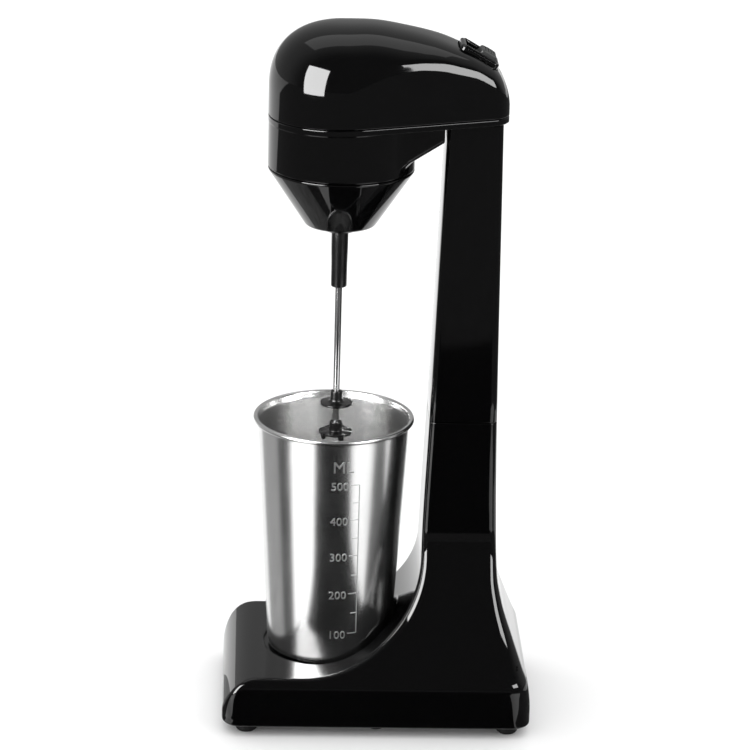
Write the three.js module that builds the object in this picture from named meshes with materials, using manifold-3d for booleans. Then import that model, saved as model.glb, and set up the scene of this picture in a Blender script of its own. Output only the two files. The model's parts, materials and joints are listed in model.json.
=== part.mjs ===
// Single-spindle milk frother: weighted foot, column, motor head, plug-in whisk and steel cup.
// Millimetres, +Z up. The origin is on the table under the middle of the foot, the cup stands
// towards -Y, the column towards +Y, and +X is the side with the cup's volume marks.
import * as THREE from 'three';
import { mergeVertices } from 'three/addons/utils/BufferGeometryUtils.js';
import Module from 'manifold-3d';

const wasm = await Module();
wasm.setup();

// ---- driving dimensions -------------------------------------------------------------------
const GAP = 0.3;                  // between pieces that touch
const WALL = 2.4;                 // moulded shells
const AXIS_Y = -25;               // vertical drive axis
const CUP_Y = -26.2;              // cup axis, a little in front of the drive axis
const FOOT_HEIGHT = 6;            // rubber feet under the shell
const FRONT_Y = -87.2;
const REAR_Y = 87.2;
const TOP_Z = 34.5;               // flat top of the foot
const SEAM_Z = 175;               // joint between the lower body and the upper column
const COLUMN_TOP = 346;
const RAMP = { y: 24.5, run: 67, rise: 62 };          // quarter ellipse from foot to column
const POCKET = { radius: 38, floor: 33 };             // recess that locates the cup
const HEAD_RADIUS = 40.9;
const HEAD_TAPER = THREE.MathUtils.degToRad(15);      // each side of the head, seen from above
const HEAD_REAR = 66.2;
const HEAD_CORNER = 8.5;
const RIM_HEIGHT = 3.5;
const HOUSING_BOTTOM = 317.8;
const NOSE = { top: 317.5, bottom: 284.5, radius: 19.5 };
const CUP = { bottom: 33.3, height: 138.5, foot: 35.3, mouth: 42.8, rim: 45.5, bead: 1.35, wall: 0.7 };
const ROD = { radius: 1.95, bottom: 158.2, top: 262 };
const SLEEVE = { top: 280.6, bottom: 248, upper: 4.7, lower: 4.45 };
const SHAFT = { radius: 2.5, bottom: 266, top: 362 };
const SWITCH = { y: 48.7, z: 382.2, tilt: THREE.MathUtils.degToRad(-29), length: 23.6, width: 20 };

// Side and end profiles of the lower body and column: [height, distance].
const HALF_WIDTH = [[6, 60.9], [25, 60.9], [31, 60], [36, 57], [42, 52.5], [50, 47], [64, 39.5],
  [80, 32.3], [92, 27.2], [100, 24.6], [113, 22.6], [175, 20.8], [346, 17.3]];
const REAR = [[6, 87.2], [14, 87.2], [30, 85.6], [38, 82.5], [53, 76.9], [71, 70.7], [86, 67.8],
  [105, 66.9], [175, 65.1], [346, 63]];
const COLUMN_FRONT = [[96, 24.5], [113, 24.8], [175, 27], [346, 32.2]];
const REAR_CORNER = [[6, 11], [30, 11], [40, 9], [70, 6], [100, 4.5], [346, 4.5]];
const FRONT_CORNER = [[34, 8], [60, 7], [80, 6], [100, 4], [346, 4]];

// Head cover: ridge height, reach of the crown to each side, its spring line and its fullness,
// each as [distance along Y, value].
const RIDGE = [[-25, 399.2], [-8.5, 399], [6, 396.8], [21, 393.4], [31, 390.2], [39, 386.9],
  [48.7, 382.2], [56.2, 377.4], [61.2, 371.6], [64.5, 365], [66.2, 356]];
const CROWN_REACH = [[-25, 40.9], [-14.4, 39.8], [-8, 39.45], [0, 39.2], [6.7, 38.6], [18.7, 35.6],
  [33, 29.2], [48, 24], [57, 21.8], [66.2, 19.8]];
const SPRING = [[-25, 362], [45, 362], [57, 356], [66.2, 344]];
const FULLNESS = [[-25, 2.4], [6.7, 2.4], [18.7, 2.6], [33, 3.2], [48, 3.5], [66.2, 3.5]];

// ---- materials ----------------------------------------------------------------------------
function paint(color, roughness, metalness = 0) {
  return new THREE.MeshStandardMaterial({ color, roughness, metalness });
}
const MATERIAL = {
  gloss: paint(0x0b0b0c, 0.08),
  satin: paint(0x161617, 0.4),
  knob: paint(0x2b2d2c, 0.45),
  rubber: paint(0x101011, 0.8),
  steel: paint(0xb9bbbd, 0.3, 1),
  polished: paint(0xc9cacc, 0.15, 1),
  zinc: paint(0x9a9c9e, 0.4, 1),
  bronze: paint(0x9a6b3c, 0.4, 1),
  copper: paint(0xb5652f, 0.35, 1),
  magnet: paint(0x3a3a3c, 0.7),
  carbon: paint(0x1c1c1d, 0.6),
  board: paint(0x1f5b34, 0.5),
  moulding: paint(0x6d6f70, 0.6),
  wire: paint(0x7a3b1e, 0.5),
};

// ---- solids -------------------------------------------------------------------------------
function toSolid(geometry) {
  const bare = geometry.clone();
  bare.deleteAttribute('normal');
  bare.deleteAttribute('uv');
  const merged = mergeVertices(bare, 1e-4);
  const vertProperties = Float32Array.from(merged.attributes.position.array);
  const triVerts = Uint32Array.from(merged.index.array);
  const solid = new wasm.Manifold(new wasm.Mesh({ numProp: 3, vertProperties, triVerts }));
  if (solid.volume() > 0) return solid;
  for (let i = 0; i < triVerts.length; i += 3) {
    [triVerts[i], triVerts[i + 1]] = [triVerts[i + 1], triVerts[i]];
  }
  return new wasm.Manifold(new wasm.Mesh({ numProp: 3, vertProperties, triVerts }));
}

function toGeometry(solid) {
  const mesh = solid.getMesh();
  const geometry = new THREE.BufferGeometry();
  geometry.setAttribute('position', new THREE.BufferAttribute(mesh.vertProperties, 3));
  geometry.setIndex(new THREE.BufferAttribute(mesh.triVerts, 1));
  geometry.computeVertexNormals();
  return geometry;
}

function union(...solids) {
  return solids.reduce((all, next) => all.add(next));
}

function cut(body, ...tools) {
  return tools.reduce((rest, tool) => rest.subtract(tool), body);
}

// A round bar along Z from z0 to z1; topRadius differs from radius on a cone.
function round(radius, z0, z1, { x = 0, y = 0, sides = 32, topRadius = radius } = {}) {
  const geometry = new THREE.CylinderGeometry(topRadius, radius, z1 - z0, sides);
  geometry.rotateX(Math.PI / 2);
  geometry.translate(x, y, (z0 + z1) / 2);
  return toSolid(geometry);
}

function box(x0, x1, y0, y1, z0, z1) {
  const geometry = new THREE.BoxGeometry(x1 - x0, y1 - y0, z1 - z0);
  geometry.translate((x0 + x1) / 2, (y0 + y1) / 2, (z0 + z1) / 2);
  return toSolid(geometry);
}

// Turned piece about a vertical axis at (x, y); the profile is [radius, z] pairs. A profile that
// does not start on the axis is a ring and closes on its first point.
function turned(profile, { x = 0, y = 0, sides = 40 } = {}) {
  const closed = profile[0][0] > 0 ? [...profile, profile[0]] : profile;
  const points = closed.map(([r, z]) => new THREE.Vector2(r, z));
  const geometry = new THREE.LatheGeometry(points, sides);
  geometry.rotateX(Math.PI / 2);
  geometry.translate(x, y, 0);
  return toSolid(geometry);
}

// Closed skin over a stack of rings that all have the same number of [x, y, z] points.
function loft(rings) {
  const count = rings[0].length;
  const positions = rings.flat(2);
  const index = [];
  for (let r = 0; r + 1 < rings.length; r += 1) {
    for (let i = 0; i < count; i += 1) {
      const a = r * count + i;
      const b = r * count + ((i + 1) % count);
      index.push(a, b, b + count, a, b + count, a + count);
    }
  }
  for (const [ring, first] of [[rings[0], 0], [rings.at(-1), (rings.length - 1) * count]]) {
    const centre = positions.length / 3;
    for (const k of [0, 1, 2]) positions.push(ring.reduce((sum, p) => sum + p[k], 0) / count);
    for (let i = 0; i < count; i += 1) {
      const j = (i + 1) % count;
      index.push(centre, first + (first ? i : j), first + (first ? j : i));
    }
  }
  const geometry = new THREE.BufferGeometry();
  geometry.setAttribute('position', new THREE.Float32BufferAttribute(positions, 3));
  geometry.setIndex(index);
  return toSolid(geometry);
}

// Bar or wire of a round section along a smooth route.
function routed(points, radius, steps, sides = 8) {
  const path = new THREE.CatmullRomCurve3(points.map((p) => new THREE.Vector3(...p)));
  const section = new THREE.Shape();
  section.absarc(0, 0, radius, 0, 2 * Math.PI);
  return toSolid(new THREE.ExtrudeGeometry(section, {
    steps, extrudePath: path, curveSegments: sides / 2,
  }));
}

// Smooth value of a [position, value] table at v (cubic between entries, no overshoot).
function along(table, v) {
  const last = table.length - 1;
  if (v <= table[0][0]) return table[0][1];
  if (v >= table[last][0]) return table[last][1];
  const k = table.findIndex(([p], i) => i < last && v < table[i + 1][0] && v >= p);
  const grade = (i) => (table[i + 1][1] - table[i][1]) / (table[i + 1][0] - table[i][0]);
  const tangent = (i) => {
    if (i === 0 || i === last) return grade(Math.min(i, last - 1));
    const [before, after] = [grade(i - 1), grade(i)];
    return before * after <= 0 ? 0 : (2 * before * after) / (before + after);
  };
  const span = table[k + 1][0] - table[k][0];
  const t = (v - table[k][0]) / span;
  const [t2, t3] = [t * t, t * t * t];
  return (2 * t3 - 3 * t2 + 1) * table[k][1] + (t3 - 2 * t2 + t) * span * tangent(k)
    + (3 * t2 - 2 * t3) * table[k + 1][1] + (t3 - t2) * span * tangent(k + 1);
}

// Rounded rectangle at height z, front (y0) corners and rear (y1) corners of their own radius.
function roundedRing(half, y0, y1, frontRadius, rearRadius, z, steps = 4) {
  const corners = [
    [half - frontRadius, y0 + frontRadius, frontRadius, -90],
    [half - rearRadius, y1 - rearRadius, rearRadius, 0],
    [rearRadius - half, y1 - rearRadius, rearRadius, 90],
    [frontRadius - half, y0 + frontRadius, frontRadius, 180],
  ];
  return corners.flatMap(([x, y, radius, start]) => Array.from({ length: steps + 1 }, (_, i) => {
    const angle = THREE.MathUtils.degToRad(start + (90 * i) / steps);
    return [x + radius * Math.cos(angle), y + radius * Math.sin(angle), z];
  }));
}

// ---- foot and lower column ----------------------------------------------------------------
const FRONT_ROUND = { depth: 19.4, start: 10 };

// Foot below its flat top, shrunk by inset on every side.
function footBlock(inset, z0, z1) {
  const levels = [z0, 7.2, 15, 22, 27, 31, 33.4].filter((z) => z >= z0 && z < z1);
  return loft([...levels, z1].map((z) => {
    const high = Math.min(1, Math.max(0, (z + inset - FRONT_ROUND.start) / (TOP_Z - FRONT_ROUND.start)));
    const front = FRONT_Y + FRONT_ROUND.depth * (1 - Math.sqrt(1 - high * high)) + inset;
    const edge = z < 7 ? 1 : 0;
    const shoulder = Math.max(0, z + inset - 31.5) * 0.7;
    const half = 60.9 - shoulder - inset - edge;
    return roundedRing(half, front + edge, along(REAR, z) - inset - edge, 13 - inset, 11 - inset, z,
      inset ? 2 : 3);
  }));
}

// Ramp and lower column above the foot, shrunk by inset on every side.
function rampAndColumn(inset, z0, z1) {
  const turns = [9, 20, 32, 44, 56, 68, 80, 90].map(THREE.MathUtils.degToRad);
  const ramp = turns.map((a) => [
    TOP_Z + RAMP.rise * (1 - Math.cos(a)) - inset,
    RAMP.y - RAMP.run * (1 - Math.sin(a)) + inset * Math.sin(a),
  ]);
  const straight = [113, 140].map((z) => [z, along(COLUMN_FRONT, z) + inset]);
  const levels = [[z0, ramp[0][1] + inset], ...ramp, ...straight, [z1, along(COLUMN_FRONT, z1) + inset]];
  return loft(levels.map(([z, front]) => {
    const level = Math.max(z, 30);
    return roundedRing(along(HALF_WIDTH, level) - inset, front, along(REAR, level) - inset,
      along(FRONT_CORNER, level) - inset * 0.6, along(REAR_CORNER, level) - inset * 0.6, z,
      inset ? 1 : 3);
  }));
}

const BASE_SCREWS = [[-38, -64], [38, -64], [-38, 66], [38, 66]];
const FEET = {
  foot_front_right: [49, -73.2], foot_front_left: [-49, -73.2],
  foot_rear_right: [49, 74.6], foot_rear_left: [-49, 74.6],
  foot_middle_right: [43.5, 0.5], foot_middle_left: [-43.5, 0.5],
};
const INLET = { x: 0, z: 17, hole: 6.2 };
const COLUMN_SCREW_Z = 166;

function rearwardHole(radius, x, z, y0, y1) {
  return round(radius, y0, y1).rotate([-90, 0, 0]).translate([x, 0, z]);
}

function lowerBody() {
  const outer = union(footBlock(0, FOOT_HEIGHT, TOP_Z), rampAndColumn(0, 28, SEAM_Z));
  const pocketWall = round(POCKET.radius + WALL, POCKET.floor - WALL, 90, { y: CUP_Y + 0.4, sides: 40 });
  const hollow = union(footBlock(WALL, FOOT_HEIGHT - 2, TOP_Z - WALL - 0.4),
    rampAndColumn(WALL, 26, SEAM_Z + 2)).subtract(pocketWall);
  const pocket = round(POCKET.radius, POCKET.floor, 120, { y: CUP_Y + 0.4, sides: 40 });
  const bosses = BASE_SCREWS.map(([x, y]) => round(4.2, 9, 70, { x, y, sides: 16 }));
  const clampBosses = [-13, 13].map((x) => box(x - 4, x + 4, 66, 85, 14, 26));
  const pilots = [...BASE_SCREWS.map(([x, y]) => round(1.6, 8, 24, { x, y, sides: 10 })),
    ...[-13, 13].map((x) => round(1.6, 10, 23, { x, y: 70, sides: 10 }))];
  const hollowed = outer.subtract(hollow).subtract(pocket);
  const inlet = rearwardHole(INLET.hole, INLET.x, INLET.z, 78, 92);
  const screwHoles = [-9, 9].flatMap((x) => [
    rearwardHole(1.7, x, COLUMN_SCREW_Z, 55, 80), rearwardHole(3.2, x, COLUMN_SCREW_Z, 63.4, 80)]);
  const blocks = union(...bosses, ...clampBosses).intersect(outer);
  return cut(union(hollowed, blocks), inlet, ...pilots, ...screwHoles);
}

function basePlate() {
  const inset = WALL + GAP + 1;
  const outline = (z) => roundedRing(60.9 - inset, FRONT_Y + inset, REAR_Y - inset, 10, 8, z);
  const plate = loft([outline(FOOT_HEIGHT + 0.2), outline(FOOT_HEIGHT + 2.4)]);
  const screwHoles = BASE_SCREWS.flatMap(([x, y]) => [
    round(1.8, 5, 10, { x, y, sides: 10 }), round(3.5, 5, 7.3, { x, y, sides: 10 })]);
  const footHoles = Object.values(FEET).map(([x, y]) => round(2.6, 5, 10, { x, y, sides: 10 }));
  const rib = (y) => box(-45, 45, y - 1, y + 1, FOOT_HEIGHT + 2, FOOT_HEIGHT + 6);
  return cut(union(plate, rib(-40), rib(34)), ...screwHoles, ...footHoles);
}

function rubberFoot([x, y]) {
  const top = FOOT_HEIGHT - 0.1;
  return turned([[0, 0], [5.2, 0], [6, 0.8], [6, top], [2.1, top], [2.1, 8.9], [2.9, 9.3],
    [1.6, 11.2], [0, 11.2]], { x, y, sides: 12 });
}

// Pan-head screw pointing up: head from z down, shank upwards.
function screw(headZ, length, { head = 3, shank = 1.2 } = {}) {
  return turned([[0, headZ], [head * 0.7, headZ], [head, headZ + 0.6], [head, headZ + 1.5],
    [shank, headZ + 1.5], [shank, headZ + length], [0, headZ + length + 0.8]], { sides: 10 });
}

function cordGland() {
  const profile = [[0, 79.6], [5.9, 79.6], [5.9, 86.6], [4, 87.1], [0, 87.1]];
  const body = turned(profile, { sides: 20 }).rotate([-90, 0, 0]).translate([INLET.x, 0, INLET.z]);
  const flange = rearwardHole(8.2, INLET.x, INLET.z, 80, 82.4);
  return cut(union(body, flange), rearwardHole(3.2, INLET.x, INLET.z, 70, 95));
}

function cordClamp() {
  const bridge = box(-17, 17, 66.5, 73.5, 10.9, 13.7);
  const saddle = rearwardHole(3.4, 0, 15.2, 60, 80);
  const holes = [-13, 13].map((x) => round(1.7, 8, 16, { x, y: 70, sides: 14 }));
  return cut(bridge, saddle, ...holes);
}

// ---- column -------------------------------------------------------------------------------
function columnRing(inset, z, corner = 4.2) {
  return roundedRing(along(HALF_WIDTH, z) - inset, along(COLUMN_FRONT, z) + inset,
    along(REAR, z) - inset, corner, corner, z);
}

function upperColumn() {
  const bottom = SEAM_Z + GAP;
  const levels = [bottom, 230, 290, COLUMN_TOP];
  const shell = loft(levels.map((z) => columnRing(0, z)));
  const spigotInset = WALL + GAP + 0.2;
  const spigot = loft([SEAM_Z - 18, SEAM_Z + 6].map((z) => columnRing(spigotInset, z, 4.4)));
  const bore = loft([SEAM_Z - 20, 230, 290, COLUMN_TOP + 2].map((z) => columnRing(WALL + 2.2, z, 2)));
  const pilots = [-9, 9].map((x) => rearwardHole(1.3, x, COLUMN_SCREW_Z, 50, 70));
  return cut(union(shell, spigot), bore, ...pilots);
}

function columnWiring() {
  const lead = (x) => routed([[x, 79, 17], [x, 74, 17], [x, 62, 20], [x * 0.8, 50, 34], [x * 0.7, 46, 70],
    [x * 0.7, 46, 150], [x * 0.7, 46, 260], [x * 0.7, 47, 338], [x * 0.8, 42, 356]], 1.1, 22, 6);
  return union(lead(-1.6), lead(1.6), round(1.3, 75, 78).rotate([0, 90, 0]).translate([-76.5, 74, 17]));
}

// ---- head ---------------------------------------------------------------------------------
const seamHeight = (y) => 347.6 + 0.025 * (y + 45.8);

// Outline of the head seen from above: round front, straight tapering sides, square rear end.
function headOutline(inset = 0) {
  const radius = HEAD_RADIUS - inset;
  const sideX = (y) => radius / Math.cos(HEAD_TAPER) - (y - AXIS_Y) * Math.tan(HEAD_TAPER);
  const rear = HEAD_REAR - inset;
  const corner = HEAD_CORNER - inset;
  const turn = Math.PI / 2 - HEAD_TAPER;
  const cornerY = rear - corner;
  const cornerX = sideX(cornerY) - corner / Math.cos(HEAD_TAPER);
  const half = [];
  for (let i = 0; i <= 9; i += 1) {
    const angle = -Math.PI / 2 + ((Math.PI / 2 + HEAD_TAPER) * i) / 9;
    half.push([radius * Math.cos(angle), AXIS_Y + radius * Math.sin(angle)]);
  }
  const start = half.at(-1)[1];
  const end = cornerY + corner * Math.sin(HEAD_TAPER);
  for (let i = 1; i < 5; i += 1) {
    const y = start + ((end - start) * i) / 5;
    half.push([sideX(y), y]);
  }
  for (let i = 0; i <= 3; i += 1) {
    const angle = HEAD_TAPER + (turn * i) / 3;
    half.push([cornerX + corner * Math.cos(angle), cornerY + corner * Math.sin(angle)]);
  }
  const mirrored = half.slice(1).reverse().map(([x, y]) => [-x, y]);
  return [...half, ...mirrored];
}

// Height of the cover's crown over (x, y).
function crown(x, y) {
  const spring = along(SPRING, y);
  const rise = along(RIDGE, y) - spring;
  const n = along(FULLNESS, y);
  const reach = y < AXIS_Y ? HEAD_RADIUS : along(CROWN_REACH, y);
  const offset = y < AXIS_Y ? Math.hypot(x, y - AXIS_Y) : Math.abs(x);
  const u = Math.min(1, offset / reach);
  return spring + rise * (1 - u ** n) ** (1 / n);
}

const CROWN_CENTRE = [0, 4];
const CROWN_STEPS = [1, 0.985, 0.95, 0.89, 0.8, 0.68, 0.52, 0.33, 0.15];

function crownSkin(inset, bottom) {
  const outer = headOutline(0);
  const wall = headOutline(inset);
  const [cx, cy] = CROWN_CENTRE;
  const steps = CROWN_STEPS.filter((_, i) => !inset || i % 2 === 0);
  const rings = steps.map((s) => wall.map(([x, y], i) => {
    const [ox, oy] = outer[i];
    const z = crown(cx + s * (ox - cx), cy + s * (oy - cy)) - inset;
    return [cx + s * (x - cx), cy + s * (y - cy), z];
  }));
  return loft([wall.map(([x, y]) => [x, y, bottom(y)]), ...rings]);
}

// Moves a solid from the switch's own frame (X across, Y down the slope, Z out) to its place.
function onSlope(solid) {
  return solid.rotate([THREE.MathUtils.radToDeg(SWITCH.tilt), 0, 0]).translate([0, SWITCH.y, SWITCH.z]);
}

function slab(width, y0, y1, z0, z1, corner) {
  const ring = (z) => roundedRing(width / 2, y0, y1, corner, corner, z, 3);
  return loft([ring(z0), ring(z1)]);
}

const COVER_SCREWS = [[-26.6, 14], [26.6, 14]];        // up through the overhang beside the arm

function headCover() {
  const shell = crownSkin(0, (y) => seamHeight(y) + 0.15).subtract(crownSkin(WALL, () => 340));
  const half = SWITCH.length / 2;
  const opening = onSlope(slab(SWITCH.width + 2 * GAP, -half - GAP, half + GAP, -8, 12, 3.3));
  const posts = COVER_SCREWS.map(([x, y]) => cut(
    round(3.2, 350.7, 385, { x, y, sides: 12 }).intersect(crownSkin(WALL / 2, () => 340)),
    round(1.3, 350, 361.5, { x, y, sides: 10 })));
  return cut(union(shell, ...posts), opening);
}

function housingRim() {
  const outline = headOutline(0.05);
  return loft([outline.map(([x, y]) => [x, y, seamHeight(y) - RIM_HEIGHT]),
    outline.map(([x, y]) => [x, y, seamHeight(y) - 0.15])]);
}

function rimHollow() {
  const outline = headOutline(WALL);
  return loft([outline.map(([x, y]) => [x, y, seamHeight(y) - RIM_HEIGHT + 1.8]),
    outline.map(([x, y]) => [x, y, seamHeight(y) + 3])]);
}

// Arm from the round housing back to the column, with its sloping underside.
function housingArm(inset) {
  const station = (y, half, low, high) => [
    [-half, y, low], [half, y, low], [half, y, high], [-half, y, high],
  ];
  const floor = 0.9 * inset;
  return loft([
    station(6, 26 - inset, 322 + floor, 346 + inset),
    station(15, 23 - inset, 327 + floor, 346 + inset),
    station(30.8 + inset, 17.6 - inset, 335.5 + floor, 346.4 + inset),
  ]);
}

function motorHousing() {
  const barrel = round(HEAD_RADIUS - 0.2, HOUSING_BOTTOM, 346.2, { y: AXIS_Y, sides: 40 });
  const bore = round(HEAD_RADIUS - WALL, HOUSING_BOTTOM - 2, 360, { y: AXIS_Y, sides: 40 });
  const spigot = loft([columnRing(WALL + GAP + 2.3, 326, 1.7), columnRing(WALL + GAP + 2.3, 347, 1.7)]);
  const duct = loft([columnRing(WALL + 4.6, 320, 1), columnRing(WALL + 4.6, 360, 1)]);
  const columnSpace = loft([columnRing(-0.5, 320), columnRing(-0.5, COLUMN_TOP + GAP)])
    .subtract(loft([columnRing(WALL + GAP + 2.3, 318, 1.7), columnRing(WALL + GAP + 2.3, 350, 1.7)]));
  const ribs = [20, 110, 200, 290].map((angle) => box(25.6, HEAD_RADIUS - 1.5, -1.1, 1.1, 326, 340)
    .rotate([0, 0, angle]).translate([0, AXIS_Y, 0]));
  const pads = COVER_SCREWS.map(([x, y]) => round(4.4, 346.2, 350.4, { x, y, sides: 16 })
    .intersect(crownSkin(WALL + GAP, () => 340)));
  const screwHoles = COVER_SCREWS.flatMap(([x, y]) => [
    round(1.5, 335, 356, { x, y, sides: 12 }), round(3, 340, 347.8, { x, y, sides: 16 })]);
  const solid = union(barrel, housingRim(), housingArm(0));
  const shell = cut(solid, bore, rimHollow(), housingArm(2), columnSpace);
  return cut(union(shell, spigot, ...pads, ...ribs), duct, ...screwHoles);
}

function noseCone() {
  const slope = (HEAD_RADIUS - 0.5 - NOSE.radius) / (NOSE.top - NOSE.bottom);
  const outerAt = (z) => NOSE.radius + slope * (z - NOSE.bottom);
  const inner = 2.9;
  return turned([
    [10.2, NOSE.bottom], [NOSE.radius - 0.8, NOSE.bottom], [NOSE.radius, NOSE.bottom + 0.8],
    [HEAD_RADIUS - 0.5, NOSE.top], [HEAD_RADIUS - WALL - GAP, NOSE.top], [HEAD_RADIUS - WALL - GAP, 324],
    [HEAD_RADIUS - 2 * WALL, 324], [HEAD_RADIUS - 2 * WALL, NOSE.top], [outerAt(297) - inner, 297],
    [22.2, 297], [22.2, 293], [outerAt(288) - inner, 288], [10.2, 288],
  ], { y: AXIS_Y, sides: 40 });
}

function noseCollar() {
  return turned([[5.6, 281], [8.9, 281], [9.7, 281.8], [9.7, 284.2], [9.9, 284.2], [9.9, 289.6],
    [5.6, 289.6]], { y: AXIS_Y, sides: 24 });
}

// ---- motor --------------------------------------------------------------------------------
const CAN = { radius: 21, bottom: 300, top: 350, wall: 0.8 };

function motorBracket() {
  const disc = turned([[8.6, 297.3], [24, 297.3], [24, 299.5], [8.6, 299.5]], { y: AXIS_Y, sides: 28 });
  const holes = [-14, 14].map((x) => round(1.8, 290, 302, { x, y: AXIS_Y, sides: 10 }));
  return cut(disc, ...holes);
}

function motorCan() {
  const inner = CAN.radius - CAN.wall;
  const can = turned([
    [5.4, 295], [8.2, 295], [8.2, CAN.bottom], [CAN.radius, CAN.bottom], [CAN.radius, CAN.top],
    [inner, CAN.top], [inner, CAN.bottom + CAN.wall], [5.4, CAN.bottom + CAN.wall],
  ], { y: AXIS_Y, sides: 28 });
  const holes = [-14, 14].map((x) => round(1.4, 299, 302, { x, y: AXIS_Y, sides: 10 }));
  return cut(can, ...holes);
}

function magnet(side) {
  const ring = turned([[17.9, 306], [19.9, 306], [19.9, 342], [17.9, 342]], { y: AXIS_Y, sides: 28 });
  return ring.intersect(box(side > 0 ? 6 : -30, side > 0 ? 30 : -6, AXIS_Y - 30, AXIS_Y + 30, 300, 350));
}

const SLOTS = Array.from({ length: 8 }, (_, i) => (i * Math.PI) / 4);

function armatureCore() {
  const core = turned([[SHAFT.radius + GAP, 309], [17, 309], [17, 338], [SHAFT.radius + GAP, 338]],
    { y: AXIS_Y, sides: 28 });
  const slots = SLOTS.map((a) => round(2.4, 300, 345,
    { x: 12.3 * Math.cos(a), y: AXIS_Y + 12.3 * Math.sin(a), sides: 10 }));
  return cut(core, ...slots);
}

function armatureWindings() {
  const head = (z0, z1) => turned([[5.2, z0], [13.6, z0], [14.8, (z0 + z1) / 2], [13.6, z1], [5.2, z1]],
    { y: AXIS_Y, sides: 24 });
  const bars = SLOTS.map((a) => round(1.9, 306, 341,
    { x: 12.3 * Math.cos(a), y: AXIS_Y + 12.3 * Math.sin(a), sides: 8 }));
  return union(head(303.4, 308.7), head(338.3, 342.8), ...bars);
}

function ringPart(inner, outer, z0, z1, sides = 24) {
  return turned([[inner, z0], [outer, z0], [outer, z1], [inner, z1]], { y: AXIS_Y, sides });
}

function motorEndCap() {
  const cap = turned([[5.4, 352], [13, 352], [13, 350.4], [20.9, 350.4], [20.9, 353.2], [8, 354.2],
    [8, 358.6], [5.4, 358.6]], { y: AXIS_Y, sides: 28 });
  const guides = [-1, 1].map((side) => box(side > 0 ? 8.6 : -18, side > 0 ? 18 : -8.6,
    AXIS_Y - 3.6, AXIS_Y + 3.6, 343.6, 351.2));
  const channels = [-1, 1].map((side) => box(side > 0 ? 5 : -20, side > 0 ? 20 : -5,
    AXIS_Y - 2.3, AXIS_Y + 2.3, 344.8, 349.2));
  return cut(union(cap, ...guides), ...channels);
}

function brush(side) {
  return box(side > 0 ? 6.6 : -15, side > 0 ? 15 : -6.6, AXIS_Y - 2, AXIS_Y + 2, 345.1, 348.9);
}

// ---- whisk --------------------------------------------------------------------------------
function agitatorSleeve() {
  return turned([
    [SHAFT.radius + GAP, SLEEVE.top], [SHAFT.radius + GAP, 265], [ROD.radius + 0.3, 264],
    [ROD.radius + 0.3, SLEEVE.bottom], [SLEEVE.lower - 0.6, SLEEVE.bottom],
    [SLEEVE.lower, SLEEVE.bottom + 0.8], [SLEEVE.lower, 262], [SLEEVE.upper, 270],
    [SLEEVE.upper, SLEEVE.top - 0.5], [SLEEVE.upper - 0.5, SLEEVE.top],
  ], { y: AXIS_Y, sides: 20 });
}

function agitatorRod() {
  return round(ROD.radius, ROD.bottom, ROD.top, { y: AXIS_Y, sides: 20 });
}

function mixingDisc() {
  return turned([[ROD.radius + GAP, 178.4], [8.9, 178.4], [9.3, 178.8], [9.3, 179.6], [3.65, 180],
    [3.4, 186.4], [ROD.radius + GAP, 186.4]], { y: AXIS_Y, sides: 24 });
}

function whiskDisc() {
  const disc = turned([[ROD.radius + GAP, 161.3], [9.3, 161.3], [9.7, 161.8], [9.7, 162.6], [4, 163],
    [3.6, 168.2], [ROD.radius + GAP, 168.2]], { y: AXIS_Y, sides: 24 });
  const notches = SLOTS.map((a) => box(6.2, 12, -0.9, 0.9, 160, 164).rotate([0, 0, (a * 180) / Math.PI])
    .translate([0, AXIS_Y, 0]));
  const teeth = SLOTS.filter((_, i) => i % 2 === 0).map((a) => box(6.6, 8.6, -1.6, 1.6, 158.4, 161.6)
    .rotate([0, 0, (a * 180) / Math.PI + 22.5]).translate([0, AXIS_Y, 0]));
  return union(cut(disc, ...notches), ...teeth);
}

// ---- cup ----------------------------------------------------------------------------------
function cup() {
  const top = CUP.bottom + CUP.height - CUP.bead;
  const beadR = CUP.rim - CUP.bead;
  const bead = [-150, -100, -50, 0, 50, 100, 150].map((deg) => {
    const a = THREE.MathUtils.degToRad(deg);
    return [beadR + CUP.bead * Math.cos(a), top + CUP.bead * Math.sin(a)];
  });
  const { bottom, foot, mouth, wall } = CUP;
  return turned([
    [0, bottom], [foot - 3, bottom], [foot - 1, bottom + 0.7], [foot, bottom + 3], [mouth, top - 2.6],
    ...bead, [mouth - wall, top - 3], [foot - wall, bottom + 3.4], [foot - wall - 1, bottom + 1.6],
    [foot - 3.2, bottom + 0.9], [0, bottom + 0.9],
  ], { y: CUP_Y, sides: 40 });
}

// ---- switch -------------------------------------------------------------------------------
function switchBezel() {
  const half = SWITCH.length / 2;
  const lip = slab(SWITCH.width - 3, -half, -half + 5, 1, 2.6, 2);
  const frame = union(slab(SWITCH.width, -half, half, -4.2, 1.7, 3), lip);
  const pocket = slab(SWITCH.width - 6, -half + 2.6, half - 1.6, -1.4, 8, 1.4);
  const slot = slab(5, -half + 5.4, half - 3.6, -8, 2, 1);
  return onSlope(cut(frame, pocket, slot));
}

function switchSlider() {
  const foot = slab(13.2, -1.6, 9.6, -1.1, 0.6, 1);
  const block = loft([slab4(12.6, -1.2, 9.2, 0.4), slab4(12, 0, 8.8, 4.6)]);
  const grooves = [2.2, 4.2, 6.2].map((y) => box(-5, 5, y - 0.35, y + 0.35, 4.1, 6));
  const stem = slab(4.4, 2.2, 5.6, -5.4, 0, 0.8);
  return onSlope(cut(union(foot, block, stem), ...grooves));
}

function slab4(width, y0, y1, z) {
  return roundedRing(width / 2, y0, y1, 1.2, 1.2, z, 2);
}

function switchBody() {
  return onSlope(cut(slab(12, -9, 9, -14, -4.5, 1), slab(5.2, -6.8, 6.8, -9, 0, 0.8)));
}

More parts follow.
